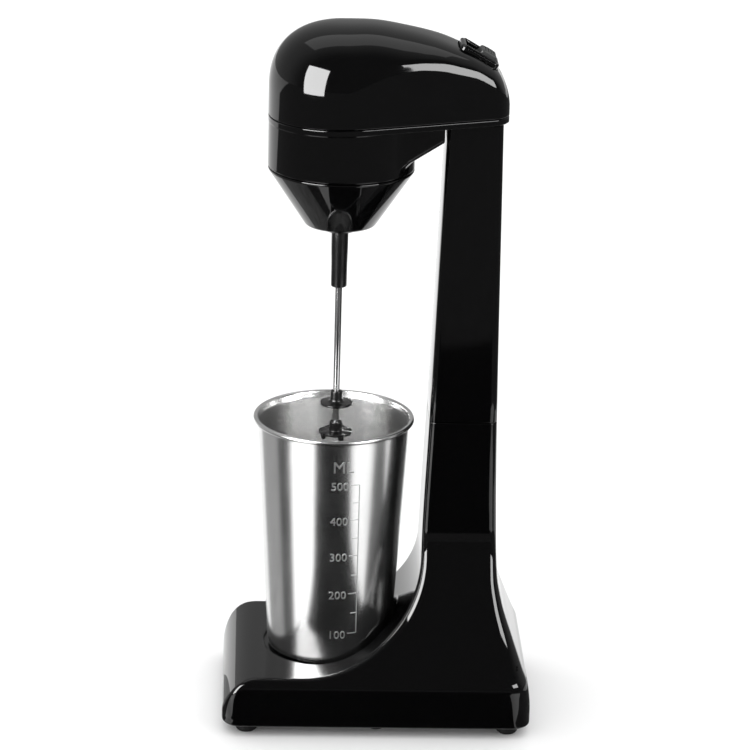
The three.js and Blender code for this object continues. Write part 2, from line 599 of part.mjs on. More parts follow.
function rectifierBoard() {
  const board = box(-11, 11, 20, 38, 362, 363.6);
  const chip = box(-6, 1, 23, 31, 363, 367.5);
  const capacitor = box(3, 8.5, 22, 36, 363, 370);
  return union(board, chip, capacitor);
}

function motorLeads() {
  const lead = (x) => routed([[x, AXIS_Y + 4, 360.6], [x, AXIS_Y + 10, 362.4], [x, -2, 362],
    [x, 12, 361], [x, 19.5, 362.8]], 0.9, 12, 6);
  return union(lead(-10), lead(10), box(-10, 10, 15.2, 16.6, 360.6, 361.8));
}

// ---- assembly -----------------------------------------------------------------------------
const frother = new THREE.Group();

function add(name, solid, material) {
  const mesh = new THREE.Mesh(toGeometry(solid), material);
  mesh.name = name;
  frother.add(mesh);
  return mesh;
}

add('lower_body', lowerBody(), MATERIAL.gloss);
add('base_plate', basePlate(), MATERIAL.satin);
for (const [name, place] of Object.entries(FEET)) add(name, rubberFoot(place), MATERIAL.rubber);
BASE_SCREWS.forEach(([x, y], i) => {
  add(`base_screw_${i + 1}`, screw(5.5, 14), MATERIAL.zinc).position.set(x, y, 0);
});
add('cord_gland', cordGland(), MATERIAL.rubber);
add('cord_clamp', cordClamp(), MATERIAL.moulding);
[-13, 13].forEach((x, i) => {
  add(`clamp_screw_${i + 1}`, screw(9.1, 12, { head: 2.8 }), MATERIAL.zinc).position.set(x, 70, 0);
});

add('upper_column', upperColumn(), MATERIAL.gloss);
[-9, 9].forEach((x, i) => {
  const fastener = add(`column_screw_${i + 1}`, screw(0, 9, { head: 2.8, shank: 0.9 }), MATERIAL.zinc);
  fastener.rotation.x = Math.PI / 2;
  fastener.position.set(x, 65.2, COLUMN_SCREW_Z);
});
add('column_wiring', columnWiring(), MATERIAL.wire);

add('head_cover', headCover(), MATERIAL.gloss);
add('motor_housing', motorHousing(), MATERIAL.gloss);
COVER_SCREWS.forEach(([x, y], i) => {
  const piece = add(`cover_screw_${i + 1}`, screw(0, 14, { head: 2.6, shank: 0.9 }), MATERIAL.zinc);
  piece.position.set(x, y, 346);
});
add('nose_cone', noseCone(), MATERIAL.gloss);
add('nose_collar', noseCollar(), MATERIAL.satin);

add('motor_bracket', motorBracket(), MATERIAL.zinc);
add('motor_can', motorCan(), MATERIAL.zinc);
add('magnet_left', magnet(-1), MATERIAL.magnet);
add('magnet_right', magnet(1), MATERIAL.magnet);
add('motor_end_cap', motorEndCap(), MATERIAL.moulding);
add('brush_left', brush(-1), MATERIAL.carbon);
add('brush_right', brush(1), MATERIAL.carbon);
add('lower_bush', ringPart(SHAFT.radius + 0.1, 5.1, 295, 300.4), MATERIAL.bronze);
add('upper_bush', ringPart(SHAFT.radius + 0.1, 5.1, 352.4, 358), MATERIAL.bronze);
add('motor_isolator', ringPart(CAN.radius + GAP, 25.2, 327, 339, 28), MATERIAL.rubber);
[-14, 14].forEach((x, i) => {
  const shape = screw(295.4, 5.6, { head: 2.6, shank: 1.1 });
  add(`motor_screw_${i + 1}`, shape, MATERIAL.zinc).position.set(x, AXIS_Y, 0);
});

add('motor_shaft', round(SHAFT.radius, SHAFT.bottom, SHAFT.top, { y: AXIS_Y, sides: 24 }), MATERIAL.steel);
add('armature_core', armatureCore(), MATERIAL.zinc);
add('armature_windings', armatureWindings(), MATERIAL.copper);
add('commutator', ringPart(SHAFT.radius + GAP, 6.2, 343.6, 350.6), MATERIAL.copper);

add('agitator_sleeve', agitatorSleeve(), MATERIAL.satin);
add('agitator_rod', agitatorRod(), MATERIAL.polished);
add('mixing_disc', mixingDisc(), MATERIAL.satin);
add('whisk_disc', whiskDisc(), MATERIAL.satin);
add('cup', cup(), MATERIAL.steel);

add('switch_bezel', switchBezel(), MATERIAL.gloss);
add('switch_slider', switchSlider(), MATERIAL.knob);
add('switch_body', switchBody(), MATERIAL.moulding);
add('rectifier_board', rectifierBoard(), MATERIAL.board);
add('motor_leads', motorLeads(), MATERIAL.wire);

export default frother;
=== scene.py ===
"""Looks of the milk frother: fine surfaces, materials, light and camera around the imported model.

Shapes are worked out in millimetres and become metres when their mesh is made. X is the side
with the cup's volume scale, -Y the front, Z up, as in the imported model.
"""
import json
import math

import bpy
import numpy as np
from mathutils import Matrix, Vector


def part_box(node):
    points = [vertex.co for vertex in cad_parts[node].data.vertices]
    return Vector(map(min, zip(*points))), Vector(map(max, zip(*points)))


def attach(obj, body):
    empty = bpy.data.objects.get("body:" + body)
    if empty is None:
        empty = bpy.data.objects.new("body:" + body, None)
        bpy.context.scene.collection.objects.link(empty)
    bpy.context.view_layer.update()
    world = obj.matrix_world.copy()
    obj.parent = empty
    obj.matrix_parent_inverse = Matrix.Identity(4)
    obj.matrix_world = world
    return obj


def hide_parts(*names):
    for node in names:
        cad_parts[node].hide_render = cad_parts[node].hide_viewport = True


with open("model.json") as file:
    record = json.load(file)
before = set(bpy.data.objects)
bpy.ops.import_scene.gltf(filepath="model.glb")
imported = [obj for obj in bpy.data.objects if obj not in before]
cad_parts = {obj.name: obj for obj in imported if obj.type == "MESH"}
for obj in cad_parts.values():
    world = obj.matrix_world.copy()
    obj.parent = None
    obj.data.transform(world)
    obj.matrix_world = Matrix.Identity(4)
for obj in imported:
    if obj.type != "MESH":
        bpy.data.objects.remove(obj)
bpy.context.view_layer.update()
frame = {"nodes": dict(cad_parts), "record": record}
MM = 0.001


def node_box(node):
    """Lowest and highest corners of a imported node, in millimetres."""
    low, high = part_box(node)
    return np.array(low) / MM, np.array(high) / MM


# ---- driving dimensions, in millimetres ------------------------------------------------------
FOOT_LOW, FOOT_HIGH = node_box("lower_body")
COLUMN_LOW, COLUMN_HIGH = node_box("upper_column")
COVER_LOW, COVER_HIGH = node_box("head_cover")
HOUSING_LOW, HOUSING_HIGH = node_box("motor_housing")
NOSE_LOW = node_box("nose_cone")[0]
CUP_LOW, CUP_HIGH = node_box("cup")
SLEEVE_LOW, SLEEVE_HIGH = node_box("agitator_sleeve")
ROD_LOW, ROD_HIGH = node_box("agitator_rod")
AXIS_Y = (ROD_LOW[1] + ROD_HIGH[1]) / 2
CUP_Y = (CUP_LOW[1] + CUP_HIGH[1]) / 2

WALL = 2.4
FRONT_Y = FOOT_LOW[1]
TOP_Z = 34.5                       # flat top of the foot
SEAM_Z = FOOT_HIGH[2]
NOSE_ROUND = 19.4, 24.5            # depth and height of the foot's rounded front
RAMP_Y, RAMP_RUN, RAMP_RISE = 24.5, 67.0, 62.0
POCKET_R, POCKET_Z, POCKET_SHIFT = 38.0, 33.0, 0.4      # round recess the cup stands in
HEAD_R = 40.9
HEAD_TAPER = math.radians(15)
HEAD_REAR = COVER_HIGH[1]
HEAD_CORNER, REAR_TOP_CORNER, CREASE = 8.5, 10.3, 2.4
RIM_HEIGHT = 3.5
SWITCH_Y, SWITCH_Z, SWITCH_TILT = 48.7, 382.2, math.radians(-29)
SWITCH_LENGTH, SWITCH_WIDTH, SWITCH_GAP = 23.6, 20.0, 0.3

# Profiles of the body by height: [height, distance].
HALF_WIDTH = [(6, 60.9), (25, 60.9), (31, 60), (36, 57), (42, 52.5), (50, 47), (64, 39.5),
              (80, 32.3), (92, 27.2), (100, 24.6), (113, 22.6), (175, 20.8), (346, 17.3)]
REAR = [(6, 87.2), (14, 87.2), (30, 85.6), (38, 82.5), (53, 76.9), (71, 70.7), (86, 67.8),
        (105, 66.9), (175, 65.1), (346, 63)]
COLUMN_FRONT = [(96, 24.5), (113, 24.8), (175, 27), (346, 32.2)]
REAR_CORNER = [(6, 11), (30, 11), (40, 9), (70, 6), (100, 4.5), (346, 4.5)]
EDGE = [(10, 13), (33, 1.8), (45, 2.6), (64, 4), (100, 4), (346, 4)]     # rounding of the edges
# Head cover by distance from the front: ridge, reach of the crown, spring line, fullness.
RIDGE = [(-25, 399.0), (-8.5, 398.9), (6, 396.8), (21, 393.4), (31, 390.2), (39, 386.9),
         (48.7, 382.2), (56.2, 377.4), (66.2, 369.5)]
CROWN_REACH = [(-25, 40.9), (-14.4, 39.8), (-8, 39.45), (0, 39.2), (6.7, 38.6), (18.7, 35.6),
               (33, 29.2), (48, 24), (57, 21.8), (66.2, 19.8)]
SPRING = [(-25, 362), (45, 362), (57, 356), (66.2, 344)]
FULLNESS = [(-25, 2.4), (6.7, 2.4), (18.7, 2.6), (33, 3.2), (48, 3.5), (66.2, 3.5)]


# ---- shape tools -----------------------------------------------------------------------------
def along(table, v):
    """Smooth value of a (position, value) table at v: cubic between entries, no overshoot."""
    p, q = np.array(table, float).T
    grade = np.diff(q) / np.diff(p)
    tangent = np.concatenate([grade[:1], np.zeros(len(p) - 2), grade[-1:]])
    turn = grade[:-1] * grade[1:]
    same = turn > 0
    tangent[1:-1][same] = 2 * turn[same] / (grade[:-1] + grade[1:])[same]
    v = np.clip(v, p[0], p[-1])
    k = np.clip(np.searchsorted(p, v, side="right") - 1, 0, len(p) - 2)
    span = p[k + 1] - p[k]
    t = (v - p[k]) / span
    return ((2 * t**3 - 3 * t**2 + 1) * q[k] + (t**3 - 2 * t**2 + t) * span * tangent[k]
            + (3 * t**2 - 2 * t**3) * q[k + 1] + (t**3 - t**2) * span * tangent[k + 1])


def spline(table, v):
    """Value at v of the smoothest curve through a (position, value) table, level at its start."""
    p, q = np.array(table, float).T
    span, grade = np.diff(p), np.diff(q) / np.diff(p)
    count = len(p)
    rows, wanted = np.zeros((count, count)), np.zeros(count)
    for i in range(1, count - 1):
        rows[i, i - 1:i + 2] = span[i - 1], 2 * (span[i - 1] + span[i]), span[i]
        wanted[i] = 6 * (grade[i] - grade[i - 1])
    rows[0, :2], wanted[0] = (2 * span[0], span[0]), 6 * grade[0]
    rows[-1, -1] = 1
    bend = np.linalg.solve(rows, wanted)
    v = np.clip(v, p[0], p[-1])
    k = np.clip(np.searchsorted(p, v, side="right") - 1, 0, count - 2)
    t = v - p[k]
    return (q[k] + t * (grade[k] - span[k] * (2 * bend[k] + bend[k + 1]) / 6)
            + t**2 * bend[k] / 2 + t**3 * (bend[k + 1] - bend[k]) / (6 * span[k]))


def corner(a, b, r):
    """Both solids at once, their meeting edge rounded to r. Distances are negative inside."""
    return (np.minimum(np.maximum(a, b), -r)
            + np.hypot(np.maximum(a + r, 0), np.maximum(b + r, 0)))


def fillet(a, b, r):
    """Either solid, the inner corner between them filled to r."""
    return -corner(-a, -b, r)


def without(a, b, r=0.4):
    """Solid a with solid b cut away, the new edge rounded to r."""
    return corner(a, -b, r)


def plate(x, y, half, y0, y1, front_r, rear_r):
    """Distance to a rounded rectangle in plan, its front and rear corners of their own radius."""
    middle = (y0 + y1) / 2
    r = np.where(y < middle, front_r, rear_r)
    qx = np.abs(x) - half + r
    qy = np.abs(y - middle) - (y1 - y0) / 2 + r
    return np.hypot(np.maximum(qx, 0), np.maximum(qy, 0)) + np.minimum(np.maximum(qx, qy), 0) - r


def gradient(field, p):
    """Slope of a field at the points p."""
    step = 0.02
    out = np.empty_like(p)
    for k in range(3):
        shift = np.zeros(3)
        shift[k] = step
        out[:, k] = (field(*(p + shift).T) - field(*(p - shift).T)) / (2 * step)
    return out


def spaced(low, high, cell, edges):
    """Grid positions a cell apart, closing up to a fifth of a cell at the given edges."""
    at = [low - 1.5 * cell]
    while at[-1] < high + 1.5 * cell:
        near = min((abs(at[-1] + 0.3 * cell - edge) for edge in edges), default=1e9)
        at.append(at[-1] + cell * min(1, max(0.2, 0.4 * near / cell)))
    return np.array(at)


def sculpt(name, field, low, high, cell, edges=(), lean=0.0):
    """Closed mesh of a field's surface. One point per grid cell that the surface crosses, each
    point then drawn onto the surface, with the field's own normals. The grid is finer at the
    heights of edges, and its levels rise with Y by lean."""
    axes = [np.arange(a - 1.5 * cell, b + 2.5 * cell, cell) for a, b in zip(low[:2], high[:2])]
    axes.append(spaced(low[2] - lean * high[1], high[2] - lean * low[1], cell, edges))
    x, y, z = np.meshgrid(*axes, indexing="ij")
    value = field(x, y, z + lean * y)
    inside = value < 0
    count = sum(inside[i:i - 1 or None, j:j - 1 or None, k:k - 1 or None].astype(np.int8)
                for i in (0, 1) for j in (0, 1) for k in (0, 1))
    active = (count > 0) & (count < 8)
    number = np.full(active.shape, -1)
    number[active] = np.arange(active.sum())
    cells = np.argwhere(active)
    total, hits = np.zeros(cells.shape), np.zeros((len(cells), 1))
    faces = []
    for axis in range(3):
        u, v = (axis + 1) % 3, (axis + 2) % 3
        for du in (0, 1):
            for dv in (0, 1):
                start = cells.copy()
                start[:, u] += du
                start[:, v] += dv
                end = start.copy()
                end[:, axis] += 1
                a, b = value[tuple(start.T)], value[tuple(end.T)]
                cross = (a < 0) != (b < 0)
                point = start.astype(float)
                point[cross, axis] += a[cross] / (a - b)[cross]
                total[cross] += point[cross]
                hits[cross] += 1
        solid = np.moveaxis(inside, (axis, u, v), (0, 1, 2))
        index = np.moveaxis(number, (axis, u, v), (0, 1, 2))
        lower, upper = solid[:-1, 1:-1, 1:-1], solid[1:, 1:-1, 1:-1]
        for i, j, k in (np.nonzero(lower & ~upper), np.nonzero(upper & ~lower)):
            quad = np.stack([index[i, j, k], index[i, j + 1, k], index[i, j + 1, k + 1],
                             index[i, j, k + 1]], 1)
            faces.append(quad)
        faces[-1] = faces[-1][:, ::-1]
    points = np.stack([np.interp(at, np.arange(len(axis)), axis)
                       for at, axis in zip((total / hits).T, axes)], 1)
    points[:, 2] += lean * points[:, 1]
    for _ in range(4):
        slope = gradient(field, points)
        square = np.maximum((slope**2).sum(1), 0.05)
        move = slope * (field(*points.T) / square)[:, None]
        length = np.linalg.norm(move, axis=1)[:, None]
        points -= move * np.minimum(1, 0.45 * cell / np.maximum(length, 1e-9))
    normals = gradient(field, points)
    normals /= np.maximum(np.linalg.norm(normals, axis=1)[:, None], 1e-9)
    return make(name, points, np.concatenate(faces), normals)


def make(name, points, faces, normals=None):
    """Smooth-shaded object from points in millimetres."""
    mesh = bpy.data.meshes.new(name)
    mesh.from_pydata((np.asarray(points) * MM).tolist(), [], [list(map(int, f)) for f in faces])
    mesh.validate()
    mesh.shade_smooth()
    if normals is not None:
        mesh.normals_split_custom_set_from_vertices(normals.tolist())
    piece = bpy.data.objects.new(name, mesh)
    bpy.context.collection.objects.link(piece)
    return piece


def eased(profile, steps=4):
    """Profile of (r, z, fillet) points with each corner turned into an arc of that fillet."""
    points = [np.array(p[:2], float) for p in profile]
    result = []
    for i, entry in enumerate(profile):
        here = points[i]
        radius = entry[2] if len(entry) > 2 else 0
        inner = 0 < i < len(profile) - 1 or not (profile[0][0] == 0 and profile[-1][0] == 0)
        if not radius or not inner:
            result.append(here)
            continue
        before, after = points[i - 1] - here, points[(i + 1) % len(points)] - here
        lb, la = np.linalg.norm(before), np.linalg.norm(after)
        reach = min(radius, 0.48 * lb, 0.48 * la)
        a, b = here + before / lb * reach, here + after / la * reach
        for t in np.linspace(0, 1, steps + 1):
            result.append((1 - t)**2 * a + 2 * t * (1 - t) * here + t**2 * b)
    return result


def lathe(name, profile, x=0.0, y=0.0, sides=96):
    """Turned piece about a vertical axis; a profile that misses the axis closes on itself."""
    outline = eased(profile)
    ring = outline[0][0] > 1e-6
    angles = np.arange(sides) * 2 * math.pi / sides
    points, rows = [], []
    for r, z in outline:
        if r < 1e-6:
            rows.append([len(points)] * sides)
            points.append((x, y, z))
        else:
            rows.append(list(range(len(points), len(points) + sides)))
            points += [(x + r * math.cos(a), y + r * math.sin(a), z) for a in angles]
    faces = []
    for low, high in zip(rows, rows[1:] + rows[:1] if ring else rows[1:]):
        for i in range(sides):
            j = (i + 1) % sides
            loop = [low[i], low[j], high[j], high[i]]
            faces.append(list(dict.fromkeys(loop)))
    return finished(make(name, points, faces))


def finished(piece, angle=35):
    """Faces out, and edges that turn by more than angle degrees kept sharp."""
    mesh = piece.data
    if signed_volume(mesh) < 0:
        mesh.flip_normals()
    mesh.set_sharp_from_angle(angle=math.radians(angle))
    return piece


def signed_volume(mesh):
    """Six times the enclosed volume, negative when the faces look inwards."""
    mesh.calc_loop_triangles()
    co = np.array([v.co for v in mesh.vertices])
    tri = np.array([t.vertices for t in mesh.loop_triangles])
    a, b, c = co[tri[:, 0]], co[tri[:, 1]], co[tri[:, 2]]
    return float(np.einsum("ij,ij->i", a, np.cross(b, c)).sum())


def round_ring(half, y0, y1, front_r, rear_r, z, steps=10):
    """Points of a rounded rectangle at height z, counter-clockwise."""
    points = []
    for x, y, r, start in ((half - front_r, y0 + front_r, front_r, -90),
                           (half - rear_r, y1 - rear_r, rear_r, 0),
                           (rear_r - half, y1 - rear_r, rear_r, 90),
                           (front_r - half, y0 + front_r, front_r, 180)):
        for i in range(steps + 1):
            a = math.radians(start + 90 * i / steps)
            points.append((x + r * math.cos(a), y + r * math.sin(a), z))
    return np.array(points)


def stands_for(piece, body, material, slot, *nodes):
    """A finished piece takes its material, its body and the nodes it stands for; slot is not used.
    """
    piece.data.materials.clear()
    piece.data.materials.append(material)
    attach(piece, body)
    if nodes:
        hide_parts(*nodes)
    return piece


# ---- materials -------------------------------------------------------------------------------
NOISE_ROUGH = 0.55
WAVE_DEPTH, HAZE_DEPTH = 0.00006, 0.00004          # metres of bump on the gloss plastic
GRAIN_DEPTH, DRAWN_DEPTH, BRUSH_DEPTH = 0.00003, 0.00001, 0.000005
GLOSS_IOR = 1.47


class Look:
    """A procedural material built node by node on the Principled shader."""

    def __init__(self, name, **fixed):
        self.material = bpy.data.materials.new(name)
        self.material.use_nodes = True
        self.tree = self.material.node_tree
        self.shader = self.tree.nodes["Principled BSDF"]
        for key, value in fixed.items():
            self.shader.inputs[key.replace("_", " ")].default_value = value
        self.place = self.node("ShaderNodeTexCoord").outputs["Object"]

    def node(self, kind, **inputs):
        """New node with its inputs fed by name, underscores standing for blanks."""
        made = self.tree.nodes.new(kind)
        for key, value in inputs.items():
            self.feed(made.inputs[key.replace("_", " ")], value)
        return made

    def feed(self, socket, value):
        """Links an output to a socket, or sets the socket's value."""
        if isinstance(value, bpy.types.NodeSocket):
            self.tree.links.new(value, socket)
        else:
            socket.default_value = value

    def noise(self, scale, detail=3.0, stretch=(1, 1, 1), place=None):
        """Cloudy pattern, scale in features per metre, stretched along the axes."""
        mapping = self.node("ShaderNodeMapping", Vector=place or self.place, Scale=stretch)
        return self.node("ShaderNodeTexNoise", Vector=mapping.outputs["Vector"], Scale=scale,
                         Detail=detail, Roughness=NOISE_ROUGH).outputs["Fac"]

    def ramp(self, factor, low, high, start=0.3, end=0.7):
        """Pattern turned into a number from low to high."""
        made = self.node("ShaderNodeMapRange", Value=factor)
        for key, value in (("From Min", start), ("From Max", end), ("To Min", low),
                           ("To Max", high)):
            made.inputs[key].default_value = value
        return made.outputs["Result"]

    def tint(self, factor, low, high, start=0.3, end=0.7):
        """Pattern turned into a colour between low and high."""
        made = self.node("ShaderNodeValToRGB", Fac=factor)
        made.color_ramp.elements[0].position = start
        made.color_ramp.elements[1].position = end
        made.color_ramp.elements[0].color = (*low, 1)
        made.color_ramp.elements[1].color = (*high, 1)
        return made.outputs["Color"]

    def bump(self, height, distance, strength, under=None):
        """Normal from a height pattern, distance in metres, over another bump if given."""
        made = self.node("ShaderNodeBump", Height=height, Distance=distance, Strength=strength)
        if under is not None:
            self.feed(made.inputs["Normal"], under)
        return made.outputs["Normal"]

    def set(self, **inputs):
        """Feeds the shader and gives back the finished material."""
        for key, value in inputs.items():
            self.feed(self.shader.inputs[key.replace("_", " ")], value)
        return self.material


def gloss_black():
    """Piano-gloss moulded plastic: faint flow waviness, a trace of dust and wiping haze."""
    look = Look("gloss_black", Metallic=0.0, IOR=GLOSS_IOR)
    haze = look.noise(14, 5)
    dust = look.noise(2600, 1)
    wipe = look.noise(90, 4, stretch=(1, 1, 6))
    waves = look.bump(look.noise(26, 2), WAVE_DEPTH, 0.5)
    return look.set(
        Base_Color=look.tint(dust, (0.0012, 0.0012, 0.0013), (0.02, 0.02, 0.021), 0.76, 0.88),
        Roughness=look.ramp(wipe, 0.035, 0.075, 0.35, 0.75),
        Normal=look.bump(haze, HAZE_DEPTH, 0.3, waves))


def moulded(name, low, high, rough, grain=900, shine=0.5):
    """Satin moulded plastic or rubber with a fine spark-eroded grain."""
    look = Look(name, Metallic=0.0, Specular_IOR_Level=shine)
    cloud, fine = look.noise(35, 4), look.noise(grain, 3)
    return look.set(Base_Color=look.tint(cloud, low, high), Roughness=look.ramp(cloud, *rough),
                    Normal=look.bump(fine, GRAIN_DEPTH, 0.6))


def metal(name, low, high, rough, stretch=(1, 1, 1), grain=300):
    """Bare or plated metal with drawn or ground lines."""
    look = Look(name, Metallic=1.0)
    cloud, lines = look.noise(45, 4), look.noise(grain, 4, stretch=stretch)
    return look.set(Base_Color=look.tint(cloud, low, high),
                    Roughness=look.ramp(lines, *rough), Normal=look.bump(lines, DRAWN_DEPTH, 0.5))


def brushed_cup():
    """Stainless steel brushed round the cup: fine lines that run level, broken along their
    length, over a faint vertical unevenness of the deep-drawn wall."""
    look = Look("cup_steel", Metallic=1.0, Anisotropic=0.4)
    place = look.node("ShaderNodeSeparateXYZ", Vector=look.place)
    x, y, z = (place.outputs[k] for k in "XYZ")
    centred = look.node("ShaderNodeMath")
    centred.operation = "SUBTRACT"
    look.feed(centred.inputs[0], y)
    centred.inputs[1].default_value = CUP_Y * MM
    turn = look.node("ShaderNodeMath")
    turn.operation = "ARCTAN2"
    look.feed(turn.inputs[0], centred.outputs[0])
    look.feed(turn.inputs[1], x)
    round_place = look.node("ShaderNodeCombineXYZ", X=turn.outputs[0], Y=z).outputs["Vector"]
    lines = look.noise(1, 4, stretch=(9, 9000, 1), place=round_place)
    streaks = look.noise(1, 3, stretch=(4, 2600, 1), place=round_place)
    clouds = look.noise(1, 3, stretch=(2.5, 18, 1), place=round_place)
    tangent = look.node("ShaderNodeTangent")
    tangent.direction_type = "RADIAL"
    tangent.axis = "Z"
    return look.set(
        Base_Color=look.tint(streaks, (0.7, 0.7, 0.7), (0.78, 0.78, 0.775)),
        Roughness=look.ramp(clouds, 0.17, 0.23),
        Tangent=tangent.outputs["Tangent"],
        Normal=look.bump(lines, BRUSH_DEPTH, 0.5))


def plain_floor():
    """Pale matt floor with a slight mottle."""
    look = Look("floor", Roughness=0.55)
    mottle = look.noise(3, 3)
    return look.set(Base_Color=look.tint(mottle, (0.9, 0.9, 0.9), (0.93, 0.93, 0.93)))


GLOSS = gloss_black()
SATIN = moulded("satin_black", (0.003, 0.003, 0.003), (0.006, 0.006, 0.006), (0.2, 0.3))
KNOB = moulded("grey_knob", (0.035, 0.037, 0.036), (0.05, 0.053, 0.051), (0.4, 0.5), 1500)
GREY = moulded("grey_moulding", (0.24, 0.25, 0.25), (0.31, 0.32, 0.32), (0.5, 0.6))
RUBBER = moulded("rubber", (0.002, 0.002, 0.002), (0.005, 0.005, 0.005), (0.5, 0.65), 1400,
                 shine=0.15)
ZINC = metal("zinc", (0.42, 0.43, 0.45), (0.52, 0.53, 0.54), (0.25, 0.4))
BRIGHT = metal("bright_steel", (0.6, 0.6, 0.61), (0.7, 0.7, 0.7), (0.1, 0.2), (1, 1, 0.05), 900)
BRONZE = metal("bronze", (0.42, 0.24, 0.11), (0.55, 0.33, 0.16), (0.3, 0.5))
COPPER = metal("copper", (0.5, 0.2, 0.08), (0.65, 0.31, 0.15), (0.25, 0.4), (1, 1, 12), 400)
MAGNET = moulded("magnet", (0.05, 0.05, 0.055), (0.09, 0.09, 0.095), (0.5, 0.65))
CARBON = moulded("carbon", (0.015, 0.015, 0.015), (0.04, 0.04, 0.04), (0.5, 0.7))
BOARD = moulded("board_green", (0.012, 0.09, 0.035), (0.02, 0.13, 0.05), (0.25, 0.35))
WIRE = moulded("wire", (0.2, 0.03, 0.02), (0.26, 0.05, 0.03), (0.4, 0.5))
STEEL = brushed_cup()
# The stamped marks are the cup's own steel: their darker grey is painted shade that makes the
# relief stand out.
MARK = metal("cup_mark", (0.42, 0.42, 0.42), (0.5, 0.5, 0.5), (0.34, 0.44))
MATERIALS = {"gloss_black": GLOSS, "satin_black": SATIN, "grey_knob": KNOB, "rubber": RUBBER,
             "grey_moulding": GREY, "zinc": ZINC, "bright_steel": BRIGHT, "bronze": BRONZE,
             "copper": COPPER, "magnet": MAGNET, "carbon": CARBON, "board_green": BOARD,
             "wire": WIRE, "cup_steel": STEEL}

for entry in frame["record"]["subparts"]:
    packed = frame["nodes"][entry["node"]]
    packed.data.materials.clear()
    packed.data.materials.append(MATERIALS[entry["material_slot"]])


# ---- foot and column -------------------------------------------------------------------------
FOOT_EASE, SEAM_CHAMFER, POCKET_EDGE, POCKET_FLOOR_EDGE = 1.2, 0.3, 1.1, 0.8
BODY_CELL, HEAD_CELL, BEZEL_CELL, BUTTON_CELL, WHISK_CELL = 1.15, 1.1, 0.42, 0.32, 0.4


def body_outside(x, y, z):
    """One profile from the rounded front over the flat top and up the ramp to the column, across
    the flared sides and the flared rear."""
    depth, height = NOSE_ROUND
    nose = np.hypot(np.maximum(FRONT_Y + depth - y, 0) / depth,
                    np.maximum(z - TOP_Z + height, 0) / height) - 1
    brow = TOP_Z + RAMP_RISE
    ramp = 1 - np.hypot(np.maximum(y - RAMP_Y + RAMP_RUN, 0) / RAMP_RUN,
                        np.maximum(brow - z, 0) / RAMP_RISE)
    column = (along(COLUMN_FRONT, z) - y) / RAMP_RUN
    profile = np.where(y < FRONT_Y + depth, nose * height,
                       np.where(z < brow, ramp, column) * RAMP_RISE)
    skin = corner(np.abs(x) - along(HALF_WIDTH, z), profile, along(EDGE, z))
    skin = corner(skin, y - along(REAR, z), along(REAR_CORNER, z))
    return corner(corner(skin, FOOT_LOW[2] - z, FOOT_EASE), z - SEAM_Z, SEAM_CHAMFER)


def body_field(x, y, z):
    """The lower body: open below for its base plate, open above for the column's spigot."""
    around = np.hypot(x, y - CUP_Y - POCKET_SHIFT)
    pocket = corner(around - POCKET_R, POCKET_Z - z, POCKET_FLOOR_EDGE)
    solid = without(body_outside(x, y, z), pocket, POCKET_EDGE)
    hollow = body_outside(x, y, np.clip(z, 10, SEAM_Z - 4)) + WALL
    under_pocket = np.maximum(around - POCKET_R - WALL, POCKET_Z - WALL - z)
    return without(solid, np.maximum(hollow, -under_pocket), 0.2)


fine = 1.0
body = sculpt("body_shell", body_field, FOOT_LOW, FOOT_HIGH, BODY_CELL * fine,
              (FOOT_LOW[2], POCKET_Z, TOP_Z, SEAM_Z))
stands_for(body, "housing", GLOSS, "gloss_black", "lower_body")


# ---- head ------------------------------------------------------------------------------------
SEAM_FRONT, SEAM_FRONT_Y, SEAM_RISE = 347.6, -45.8, 0.025
SEAM_GAP, SEAM_EDGE = 0.15, 0.55
ARM_AT, ARM_END = (6, 15, 31), 30.8                 # the arm back to the column, by Y
ARM_HALF, ARM_LOW, ARM_WALL = (26, 23, 17.5), (322, 327, 335.6), 2
TRAY_FLOOR = 1.8
SPIGOT_INSET, SPIGOT_LOW, SPIGOT_TOP = 5, 326, 347
PAD_X, PAD_Y, PAD_Z = 26.6, 14, 348.3               # bosses of the two cover screws
PAD_R, PAD_HOLE, PAD_SINK = 4.2, 1.5, 3


def seam_height(y):
    """Height of the seam between cover and housing, rising to the rear."""
    return SEAM_FRONT + SEAM_RISE * (y - SEAM_FRONT_Y)


def flank(x, y):
    """Distance to the head's sides: round at the front, then straight and drawing together."""
    ax, dy = np.abs(x), y - AXIS_Y
    side = ax * math.cos(HEAD_TAPER) + dy * math.sin(HEAD_TAPER) - HEAD_R
    beyond = dy * math.cos(HEAD_TAPER) - ax * math.sin(HEAD_TAPER) > 0
    return np.where(beyond, side, np.hypot(ax, dy) - HEAD_R)


def head_plan(x, y):
    """Distance to the head's outline, cut off square at the rear."""
    return corner(flank(x, y), y - HEAD_REAR, HEAD_CORNER)


def crown(x, y, z):
    """Distance, nearly, to the cover's crown: a dome over the motor that runs back as a vault."""
    spring = along(SPRING, y)
    rise = spline(RIDGE, y) - spring
    n = along(FULLNESS, y)
    front = y < AXIS_Y
    reach = np.where(front, HEAD_R, spline(CROWN_REACH, y))
    offset = np.where(front, np.hypot(x, y - AXIS_Y), np.abs(x))
    up = np.maximum((z - spring) / rise, 0)
    size = ((offset / reach)**n + up**n + 1e-9)**(1 / n)
    return (size - 1) * np.minimum(reach, rise)


def cover_outside(x, y, z, cut=True):
    """The cover's outer skin, cut at the seam when cut is set."""
    edge = CREASE * np.clip(1 + y / 26, 0.02, 1)
    rear = np.interp(z, (350, 366), (HEAD_CORNER, REAR_TOP_CORNER))
    skin = corner(corner(flank(x, y), crown(x, y, z), edge), y - HEAD_REAR, rear)
    return corner(skin, seam_height(y) + SEAM_GAP - z, SEAM_EDGE) if cut else skin


def slope_place(x, y, z):
    """Place in the switch's own frame: across, down the slope, out of the slope."""
    c, s = math.cos(SWITCH_TILT), math.sin(SWITCH_TILT)
    dy, dz = y - SWITCH_Y, z - SWITCH_Z
    return x, c * dy + s * dz, -s * dy + c * dz


